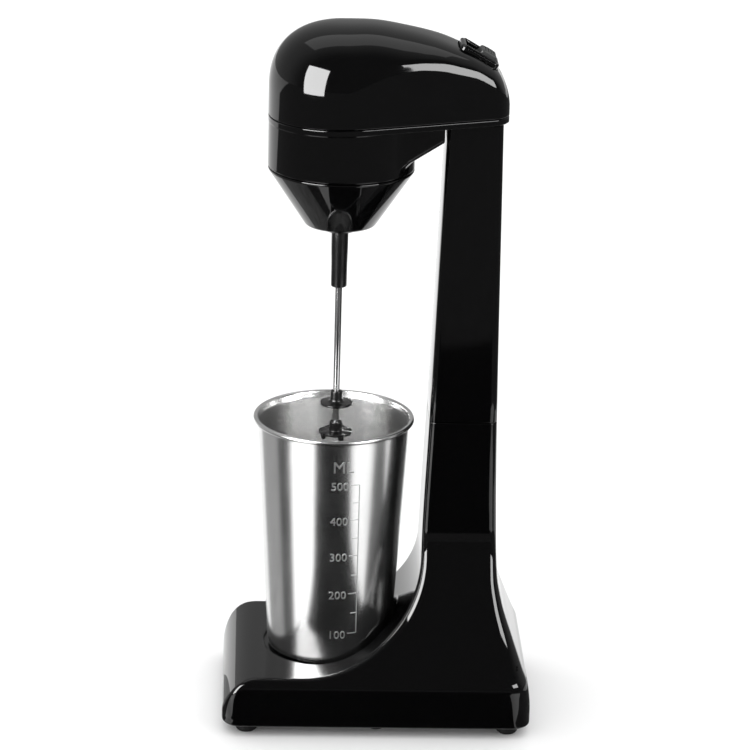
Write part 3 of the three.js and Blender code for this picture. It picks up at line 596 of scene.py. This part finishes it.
def cover_field(x, y, z):
    """The head cover: a shell with the opening for the switch."""
    hollow = np.maximum(cover_outside(x, y, z, cut=False) + WALL, 340 - z)
    across, down, out = slope_place(x, y, z)
    half, wide = SWITCH_LENGTH / 2 + SWITCH_GAP, SWITCH_WIDTH / 2 + SWITCH_GAP
    opening = np.maximum(plate(across, down, wide, -half, half, 3.3, 3.3), np.abs(out) - 12)
    return without(without(cover_outside(x, y, z), hollow, 0.3), opening, 0.5)


def column_plan(x, y, z, inset, r):
    """Distance to the column's outline at height z, drawn in by inset."""
    return plate(x, y, along(HALF_WIDTH, z) - inset, along(COLUMN_FRONT, z) + inset,
                 along(REAR, z) - inset, r, r)


def housing_field(x, y, z):
    """Motor housing, its thin rim under the cover, the arm and the spigot in the column."""
    seam = seam_height(y)
    around = np.hypot(x, y - AXIS_Y)
    barrel = corner(around - HEAD_R + 0.2, HOUSING_LOW[2] - z, 0.8)
    plan = head_plan(x, y) + 0.05
    rim = corner(plan, seam - RIM_HEIGHT - z, 0.25)
    half, low = np.interp(y, ARM_AT, ARM_HALF), np.interp(y, ARM_AT, ARM_LOW)
    arm = corner(np.abs(x) - half, low - z, 3.0)
    arm = np.maximum(arm, np.maximum(y - ARM_END, -y))
    block = fillet(fillet(barrel, np.maximum(arm, z - SPIGOT_TOP), 2.5), rim, 0.3)
    block = corner(block, z - seam + SEAM_GAP, SEAM_EDGE)
    bore = around - HEAD_R + WALL
    tray = np.maximum(plan + WALL, seam - RIM_HEIGHT + TRAY_FLOOR - z)
    duct = corner(np.abs(x) - half + ARM_WALL, low + ARM_WALL - z, 1.5)
    duct = np.maximum(np.maximum(duct, y - ARM_END + ARM_WALL), -y)
    hollow = np.minimum(np.minimum(bore, tray), duct)
    column = column_plan(x, y, z, -0.5, 4.5)
    column = np.maximum(column, z - COLUMN_HIGH[2] - 0.3)
    solid = np.maximum(np.maximum(block, -hollow), -column)
    spigot = column_plan(x, y, z, SPIGOT_INSET, 1.7)
    spigot = np.maximum(np.abs(spigot + 1) - 1, np.maximum(SPIGOT_LOW - z, z - SPIGOT_TOP))
    throat = np.maximum(plate(x, y, 10, 40, 55, 1, 1), np.abs(z - SPIGOT_TOP) - 4)
    screw_r = np.hypot(np.abs(x) - PAD_X, y - PAD_Y)
    pad = np.maximum(screw_r - PAD_R, np.abs(z - PAD_Z) - 2)
    pad = np.maximum(pad, plan + WALL - 0.6)
    solid = np.maximum(np.minimum(np.minimum(solid, spigot), pad), -throat)
    solid = np.maximum(solid, PAD_HOLE - screw_r)
    return without(solid, np.maximum(screw_r - PAD_SINK, z - PAD_Z + 0.5), 0.3)


def bezel_field(x, y, z):
    """Raised frame of the switch with a lip at its upper end, a pocket and the slot."""
    across, down, out = slope_place(x, y, z)
    half, wide = SWITCH_LENGTH / 2, SWITCH_WIDTH / 2
    rim = corner(plate(across, down, wide, -half, half, 3, 3), out - 1.7, 0.7)
    lip = corner(plate(across, down, wide - 1.2, -half + 0.4, -half + 4.6, 2, 1.2), out - 2.3, 0.9)
    rails = corner(plate(np.abs(across) - wide + 1.7, down, 1.1, -half + 2, half - 2, 1, 1),
                   out - 2.4 + 0.02 * down, 0.7)
    solid = fillet(fillet(rim, lip, 0.6), rails, 0.5)
    solid = np.maximum(solid, -4.2 - out)
    pocket = np.maximum(plate(across, down, wide - 3, -half + 2.6, half - 1.6, 1.4, 1.4),
                        -1.4 - out)
    slot = plate(across, down, 2.5, -half + 5.4, half - 3.6, 1, 1)
    return without(without(solid, pocket, 0.35), slot, 0.2)


def slider_field(x, y, z):
    """Switch block with finger grooves on top and the stem that goes through the slot."""
    across, down, out = slope_place(x, y, z)
    base = corner(plate(across, down, 6.6, -1.6, 9.6, 1, 1), np.abs(out + 0.25) - 0.85, 0.25)
    lean = 0.16 * np.maximum(out, 0)
    block = plate(across, down, 6.3 - 0.4 * lean, -1.2 + lean, 9.2 - 0.5 * lean, 1.3, 1.3)
    top = out - 4.65 + 0.0175 * (down - 4)**2
    block = corner(block, top, 0.8)
    block = np.maximum(block, -out)
    ridge = np.abs((down - 0.9) % 1.7 - 0.85) - 0.34
    grip = np.maximum(np.maximum(ridge, np.abs(across) - 4.9), np.abs(down - 4.3) - 3.3)
    block = without(block, np.maximum(grip, 4.0 - out), 0.22)
    stem = np.maximum(plate(across, down, 2.2, 2.2, 5.6, 0.8, 0.8), np.maximum(-5.4 - out, out))
    return np.minimum(fillet(base, block, 0.3), stem)


LEVEL = seam_height(0)
stands_for(sculpt("cover_shell", cover_field, COVER_LOW, COVER_HIGH, HEAD_CELL * fine,
                  (LEVEL,), SEAM_RISE), "housing", GLOSS, "gloss_black", "head_cover")
stands_for(sculpt("housing_shell", housing_field, HOUSING_LOW, HOUSING_HIGH, HEAD_CELL * fine,
                  (HOUSING_LOW[2], LEVEL - RIM_HEIGHT, LEVEL), SEAM_RISE),
           "housing", GLOSS, "gloss_black", "motor_housing")
stands_for(sculpt("switch_frame", bezel_field, *node_box("switch_bezel"), BEZEL_CELL * fine),
           "housing", GLOSS, "gloss_black", "switch_bezel")
stands_for(sculpt("switch_button", slider_field, *node_box("switch_slider"), BUTTON_CELL * fine),
           "switch_knob", KNOB, "grey_knob", "switch_slider")

NOSE_R = 19.5
nose_top = HOUSING_LOW[2] - 0.3
plug_r, step_r = HEAD_R - WALL - 0.3, HEAD_R - 2 * WALL
stands_for(lathe("nose_shell", [
    (10.2, NOSE_LOW[2], 0.4), (NOSE_R, NOSE_LOW[2], 1.6), (HEAD_R - 0.3, nose_top - 0.9, 0.8),
    (HEAD_R - 0.45, nose_top, 0.4), (plug_r, nose_top), (plug_r, 324, 0.3), (step_r, 324, 0.3),
    (step_r, nose_top - 0.5, 1), (24.4, 297, 0.3), (22.2, 297), (22.2, 293), (18.9, 288, 1),
    (10.2, 288, 0.3)], y=AXIS_Y, sides=160), "housing", GLOSS, "gloss_black", "nose_cone")
stands_for(lathe("nose_ring", [
    (5.6, 281, 0.3), (9.2, 281, 0.7), (9.7, 284.2), (9.9, 284.4), (9.9, 289.6, 0.3), (5.6, 289.6)],
    y=AXIS_Y), "housing", SATIN, "satin_black", "nose_collar")


# ---- column ----------------------------------------------------------------------------------
def column_ring(inset, z, r=4.2):
    """Outline of the column at height z, drawn in by inset, corners of radius r."""
    return round_ring(along(HALF_WIDTH, z) - inset, along(COLUMN_FRONT, z) + inset,
                      along(REAR, z) - inset, r, r, z)


def column_shell():
    """Outer skin, spigot below the seam and bore in one closed piece."""
    bottom, top = SEAM_Z + 0.3, COLUMN_HIGH[2]
    outer = [column_ring(0.35 * (1 - math.sin(t)), bottom + 0.35 * (1 - math.cos(t)))
             for t in np.linspace(0, math.pi / 2, 4)]
    outer += [column_ring(0, z) for z in np.linspace(bottom + 12, top - 0.4, 14)]
    outer.append(column_ring(0.3, top))
    spigot = [column_ring(2.9, COLUMN_LOW[2]), column_ring(2.9, bottom)]
    bore = [column_ring(4.6, z, 2) for z in np.linspace(top, COLUMN_LOW[2], 10)]
    rings = spigot + outer + bore
    count = len(rings[0])
    points = np.concatenate(rings)
    faces = []
    for r in range(len(rings)):
        s = (r + 1) % len(rings)
        for i in range(count):
            j = (i + 1) % count
            faces.append([r * count + i, r * count + j, s * count + j, s * count + i])
    return finished(make("column_shell", points, faces))


stands_for(column_shell(), "housing", GLOSS, "gloss_black", "upper_column")

# ---- foot fittings ---------------------------------------------------------------------------
for node in [n for n in frame["nodes"] if n.startswith("foot_")]:
    low, high = node_box(node)
    x, y = (low + high)[:2] / 2
    profile = [(0, 0), (4.9, 0, 0.5), (5.3, 0.35), (6, 1.2, 0.5), (6, 5.9, 0.3), (2.1, 5.9),
               (2.1, 8.9), (2.9, 9.3, 0.3), (1.6, 11.2, 0.4), (0, 11.2)]
    stands_for(lathe(node + "_pad", profile, x, y, 48), "housing", RUBBER, "rubber", node)


PITCH, THREAD_DEPTH, THREAD_FROM = 0.9, 0.16, 2.2
CROSS_HALF, CROSS_REACH, CROSS_DEPTH, HEAD_HEIGHT, TIP = 0.42, 1.7, 1.1, 1.5, 0.8
SCREW_CELL, SCREW_QUICK_CELL = 0.3, 0.5


def screw_field(length, head, shank):
    """Pan head with a cross recess, and a threaded shank, head down at the origin."""
    def field(x, y, z):
        r = np.hypot(x, y)
        cap = corner(r - head + 0.08 * np.maximum(0.6 - z, 0)**2, -z + 0.06 * r**2 / head, 0.5)
        cap = corner(cap, z - HEAD_HEIGHT, 0.15)
        turn = np.arctan2(y, x) / (2 * math.pi)
        thread = THREAD_DEPTH * np.abs(((z / PITCH - turn) % 1) * 2 - 1)
        rod = np.maximum(r - shank + thread * (z > THREAD_FROM), z - length)
        rod = np.maximum(rod, -z)
        tip = r - (length + TIP - z) * shank / (2 * TIP)
        arm = np.minimum(np.maximum(np.abs(x) - CROSS_HALF, np.abs(y) - CROSS_REACH),
                         np.maximum(np.abs(y) - CROSS_HALF, np.abs(x) - CROSS_REACH))
        recess = np.maximum(arm, z - CROSS_DEPTH + 0.3 * r)
        return np.maximum(np.minimum(cap, np.maximum(rod, tip)), -recess)
    return field


def screw(node, head, shank, turn=None):
    """Detailed screw in the place of a packed one, head down or turned about X."""
    low, high = node_box(node)
    length = (high - low).max() - TIP
    size = head + 0.2
    piece = sculpt(node + "_detail", screw_field(length, head, shank), (-size, -size, 0),
                   (size, size, length), SCREW_CELL)
    seat = Vector(((low + high) / 2) * MM)
    if turn is None:
        seat.z = low[2] * MM
        piece.data.transform(Matrix.Translation(seat))
    else:
        seat.y = high[1] * MM
        piece.data.transform(Matrix.Translation(seat) @ Matrix.Rotation(turn, 4, "X"))
    stands_for(piece, "housing", ZINC, "zinc", node)


for number in range(1, 5):
    screw(f"base_screw_{number}", 3.0, 1.2)
for number in (1, 2):
    screw(f"column_screw_{number}", 2.8, 0.9, math.pi / 2)
    screw(f"cover_screw_{number}", 2.6, 0.9)

# ---- whisk and cup ---------------------------------------------------------------------------
ROD_BORE = 2.25                    # bore of the parts that sit on the steel rod
stands_for(lathe("sleeve_moulding", [
    (2.8, SLEEVE_HIGH[2], 0.3), (2.8, 265, 0.3), (ROD_BORE, 264, 0.2),
    (ROD_BORE, SLEEVE_LOW[2], 0.2), (4.45, SLEEVE_LOW[2], 1.0), (4.45, 262, 4), (4.7, 270, 4),
    (4.7, SLEEVE_HIGH[2], 0.9)],
    y=AXIS_Y, sides=64), "agitator", SATIN, "satin_black", "agitator_sleeve")
stands_for(lathe("rod_steel", [
    (0, ROD_LOW[2]), (1.95, ROD_LOW[2], 0.7), (1.95, ROD_HIGH[2], 0.5), (0, ROD_HIGH[2])],
    y=AXIS_Y, sides=48), "agitator", BRIGHT, "bright_steel", "agitator_rod")
stands_for(lathe("mixing_plate", [
    (ROD_BORE, 178.4, 0.2), (8.9, 178.4, 0.4), (9.3, 179, 0.4), (9.1, 179.7, 0.3),
    (4.6, 180, 0.8), (3.65, 181, 0.6), (3.4, 186.4, 0.7), (ROD_BORE, 186.4, 0.2)],
    y=AXIS_Y, sides=80),
    "agitator", SATIN, "satin_black", "mixing_disc")


WHISK_Z, WHISK_R, WHISK_HALF, WHISK_WAVE = 162, 9.6, 0.55, 0.2
TOOTH_R, TOOTH_Z, HUB_R = 7.7, 160.2, 3.9


def whisk_field(x, y, z):
    """Wavy disc with eight rim notches, four teeth below it and a hub on the rod."""
    dy = y - AXIS_Y
    r, turn = np.hypot(x, dy), np.arctan2(dy, x)
    wave = WHISK_WAVE * np.cos(8 * turn) * np.clip((r - 4.5) / 3, 0, 1)
    disc = corner(r - WHISK_R, np.abs(z - WHISK_Z + wave) - WHISK_HALF, 0.3)
    notch = np.abs((turn / (math.pi / 4) + 0.5) % 1 - 0.5) * math.pi / 4 * r - 0.4
    disc = without(disc, np.maximum(notch, 7.6 - r), 0.2)
    eighth = (turn + math.pi / 8) % (math.pi / 2) - math.pi / 4
    tooth = np.maximum(np.abs(r - TOOTH_R) - 0.9, np.abs(eighth) * r - 1.5)
    tooth = corner(tooth, np.abs(z - TOOTH_Z) - 1.75, 0.35)
    hub = corner(r - HUB_R + 0.06 * (z - 163), np.abs(z - 165) - 3.2, 0.5)
    return np.maximum(fillet(fillet(disc, tooth, 0.4), hub, 0.6), ROD_BORE - r)


stands_for(sculpt("whisk_plate", whisk_field, *node_box("whisk_disc"), WHISK_CELL * fine),
           "agitator", SATIN, "satin_black", "whisk_disc")

CUP_FOOT, CUP_MOUTH, CUP_BEAD, CUP_WALL = 35.3, 42.8, 1.35, 0.7
bottom, rim_z = CUP_LOW[2], CUP_HIGH[2] - CUP_BEAD
bead_r = CUP_HIGH[0] - CUP_BEAD


def cup_radius(z):
    """Outer radius of the cup's wall at height z."""
    return CUP_FOOT + (CUP_MOUTH - CUP_FOOT) * (z - bottom - 3) / (rim_z - 5.6 - bottom)


bead = [(bead_r + CUP_BEAD * math.cos(a), rim_z + CUP_BEAD * math.sin(a))
        for a in np.radians(np.arange(-140, 181, 20))]
stands_for(lathe("cup_steel_body", [
    (0, bottom + 0.5), (CUP_FOOT - 7.5, bottom + 0.5, 0.6), (CUP_FOOT - 6.2, bottom, 0.6),
    (CUP_FOOT, bottom, 3.2), (cup_radius(rim_z - 2.6), rim_z - 2.6, 0.8), *bead,
    (CUP_MOUTH - CUP_WALL, rim_z - 3, 1.2), (CUP_FOOT - CUP_WALL, bottom + 0.9, 3.4),
    (0, bottom + 1.1)], y=CUP_Y, sides=192), "cup", STEEL, "cup_steel", "cup")

SCALE_SIDE, LINE_WIDTH = 14.6, 0.5       # the scale's line: way round the wall, width
RELIEF, SUNK = 0.28, 0.12                # height of the marks above the wall, depth in it
NUMBER_SIZE, UNIT_SIZE = 6.8, 9.6
SCALE_MARKS = {500: 111.2, 450: 100.4, 400: 89.9, 350: 78.7, 300: 67.9, 250: 55.8, 200: 44.5,
               150: 32.3, 100: 19.8}


def on_cup(obj, sideways, height):
    """Wraps a flat outline (x to the right, y up, millimetres) round the cup as a low relief."""
    for v in obj.data.vertices:
        z = bottom + height + v.co.y
        turn = (SCALE_SIDE + sideways + v.co.x) / cup_radius(z)
        r = cup_radius(z) - SUNK + (RELIEF + SUNK) * (v.co.z > 0)
        v.co = Vector((r * math.cos(turn), CUP_Y + r * math.sin(turn), z)) * MM
    stands_for(finished(obj, 50), "cup", MARK, "cup_steel")


def relief_text(text, size, sideways, height):
    """Raised characters, their right end at sideways from the scale's line."""
    curve = bpy.data.curves.new("mark", "FONT")
    curve.body, curve.size, curve.extrude = text, size, 0.5
    curve.align_x, curve.align_y, curve.resolution_u = "RIGHT", "CENTER", 3
    text_obj = bpy.data.objects.new("mark", curve)
    bpy.context.collection.objects.link(text_obj)
    bpy.context.view_layer.update()
    obj = bpy.data.objects.new(f"scale_{text}", bpy.data.meshes.new_from_object(text_obj))
    bpy.data.objects.remove(text_obj)
    bpy.context.collection.objects.link(obj)
    weld = obj.modifiers.new("weld", "WELD")
    weld.merge_threshold = 0.001
    welded = obj.evaluated_get(bpy.context.evaluated_depsgraph_get())
    obj.data = bpy.data.meshes.new_from_object(welded)
    obj.data.name = obj.name
    obj.modifiers.clear()
    on_cup(obj, sideways, height)


def relief_bar(name, width, tall, sideways, height, pieces):
    """Thin raised bar, split along its length so that it follows the wall."""
    ys = np.linspace(-tall / 2, tall / 2, pieces + 1)
    points = [(x, y, z) for y in ys for z in (-0.5, 0.5) for x in (-width / 2, width / 2)]
    faces = [[0, 1, 3, 2], [len(points) - 4 + k for k in (2, 3, 1, 0)]]
    for r in range(pieces):
        a = 4 * r
        for p, q in ((0, 1), (1, 3), (3, 2), (2, 0)):
            faces.append([a + p, a + q, a + 4 + q, a + 4 + p])
    on_cup(make(name, np.array(points) / MM, faces), sideways, height)


for volume, height in SCALE_MARKS.items():
    numbered = volume % 100 == 0
    relief_bar(f"scale_tick_{volume}", 5.0 if numbered else 3.4, LINE_WIDTH,
               -2.7 if numbered else -1.9, height, 1)
    if numbered:
        relief_text(str(volume), NUMBER_SIZE, -6.2, height - 1)
relief_text("ML", UNIT_SIZE, -3.4, 121.6)
relief_bar("scale_line", LINE_WIDTH, SCALE_MARKS[500] - SCALE_MARKS[100], 0,
           (SCALE_MARKS[500] + SCALE_MARKS[100]) / 2, 12)

# ---- room, light and camera, in metres -------------------------------------------------------
FAR = 9                            # half width of the floor


def staged(name, corners, height, material):
    """Level sheet of four-cornered patches that belongs to the room, not to the part."""
    mesh = bpy.data.meshes.new(name)
    mesh.from_pydata([(x, y, height) for patch in corners for x, y in patch], [],
                     [tuple(range(4 * k, 4 * k + 4)) for k in range(len(corners))])
    mesh.materials.append(material)
    piece = bpy.data.objects.new(name, mesh)
    bpy.context.collection.objects.link(piece)
    return piece


staged("floor", [[(-FAR, -FAR), (FAR, -FAR), (FAR, FAR), (-FAR, FAR)]], 0, plain_floor())
MIDDLE = Vector((0, 0, 0.2))


def softbox(name, azimuth, height, distance, width, tall, power):
    """Rectangular soft light seen only in mirroring surfaces; azimuth from +X towards +Y, in
    degrees."""
    data = bpy.data.lights.new(name, "AREA")
    data.shape, data.size, data.size_y, data.energy = "RECTANGLE", width, tall, power
    light = bpy.data.objects.new(name, data)
    a = math.radians(azimuth)
    light.location = (distance * math.cos(a), distance * math.sin(a), height)
    light.visible_diffuse = False
    light.rotation_mode = "QUATERNION"
    light.rotation_quaternion = (MIDDLE - light.location).to_track_quat("-Z", "Y")
    bpy.context.collection.objects.link(light)


softbox("key_left", -47, 0.75, 1.6, 1.05, 1.3, 80)
softbox("fill_right", 44, 0.78, 1.7, 0.9, 0.8, 25)
softbox("top", 180, 2.2, 0.7, 2.6, 1.1, 6)


def flag(name, shade, corners, height=0.0005):
    """Dark sheet laid on the white floor round the frother, seen only in its mirroring surfaces:
    painted shade in their reflections, hidden from the camera, from shadows and from diffuse
    light.
    """
    shade_look = moulded(name, (shade,) * 3, (1.6 * shade,) * 3, (0.9, 1.0), shine=0)
    piece = staged(name, corners, height, shade_look)
    piece.visible_camera = piece.visible_diffuse = piece.visible_shadow = False


# Corners by X and Y of the sheets of painted shade, seen only in reflections: the black one lies
# beside the foot, the far one round the room, the dark and grey strips fan out before the front.
flag("black_reflection_shade", 0.004, [
    [(0.064, -0.095), (0.16, -0.11), (0.2, 0.085), (0.064, 0.085)],
    [(0.16, -0.11), (0.5, -0.3), (0.5, 0.19), (0.2, 0.085)],
    [(0.5, -0.3), (0.8, -0.46), (0.8, 0.3), (0.5, 0.19)]], 0.0007)
flag("far_reflection_shade", 0.075, [
    [(0.5, -FAR), (FAR, -FAR), (FAR, FAR), (0.5, FAR)],
    [(-0.62, -FAR), (0.5, -FAR), (0.5, -0.5), (-0.62, -0.5)],
    [(-2.5, 0.5), (0.5, 0.5), (0.5, FAR), (-2.5, FAR)],
    [(-0.04, 0.089), (0.08, 0.089), (0.26, 0.5), (0.08, 0.5)]])
flag("dark_strip", 0.05, [[(0.046, -0.095), (0.18, -0.5), (-0.03, -0.5), (0.023, -0.095)]])
flag("grey_strip", 0.22, [[(0.023, -0.095), (-0.03, -0.5), (-0.55, -0.5), (-0.03, -0.095)]])

# The room's light: even for the floor and all matt surfaces, but darker towards the camera's
# side, +X, in what the glossy surfaces mirror.
ROOM_LIGHT, MIRRORED_DARK, MIRRORED_BRIGHT = 1.4, 0.08, 0.36
DARK_FROM, BRIGHT_FROM = 0.45, -0.25
world = bpy.data.worlds.new("room")
bpy.context.scene.world = world
world.use_nodes = True
links, nodes = world.node_tree.links, world.node_tree.nodes
direction = nodes.new("ShaderNodeTexCoord")
split = nodes.new("ShaderNodeSeparateXYZ")
links.new(direction.outputs["Generated"], split.inputs["Vector"])
fade = nodes.new("ShaderNodeMapRange")
fade.interpolation_type = "SMOOTHSTEP"
for key, value in (("From Min", BRIGHT_FROM), ("From Max", DARK_FROM),
                   ("To Min", MIRRORED_BRIGHT), ("To Max", MIRRORED_DARK)):
    fade.inputs[key].default_value = value
links.new(split.outputs["X"], fade.inputs["Value"])
seen = nodes.new("ShaderNodeLightPath")
pick = nodes.new("ShaderNodeMix")
links.new(seen.outputs["Is Glossy Ray"], pick.inputs["Factor"])
pick.inputs["A"].default_value = ROOM_LIGHT
links.new(fade.outputs["Result"], pick.inputs["B"])
links.new(pick.outputs["Result"], nodes["Background"].inputs["Strength"])
nodes["Background"].inputs["Color"].default_value = (1, 1, 1, 1)

AZIMUTH, ELEVATION, ROLL = (math.radians(a) for a in (2.107, 18.645, 1.476))
DISTANCE, LENS, SENSOR = 2.0391, 173.9952, 36       # metres, then millimetres
SHIFT = 0.002866667, -0.009373333                   # in widths of the picture
AIM = Vector((0, -0.0048, 0.2))
level = math.cos(ELEVATION)
back = Vector((level * math.cos(AZIMUTH), -level * math.sin(AZIMUTH), math.sin(ELEVATION)))
right = Vector((0, 0, 1)).cross(back).normalized()
up = back.cross(right)
sideways = right * math.cos(ROLL) + up * math.sin(ROLL)
upwards = up * math.cos(ROLL) - right * math.sin(ROLL)
camera = bpy.data.objects.new("camera", bpy.data.cameras.new("camera"))
bpy.context.collection.objects.link(camera)
camera.data.sensor_width, camera.data.lens = SENSOR, LENS
camera.data.shift_x, camera.data.shift_y = SHIFT
turned = Matrix((sideways, upwards, back)).transposed().to_4x4()
camera.matrix_world = Matrix.Translation(AIM + DISTANCE * back) @ turned
bpy.context.scene.camera = camera
bpy.context.scene.view_settings.view_transform = "Standard"
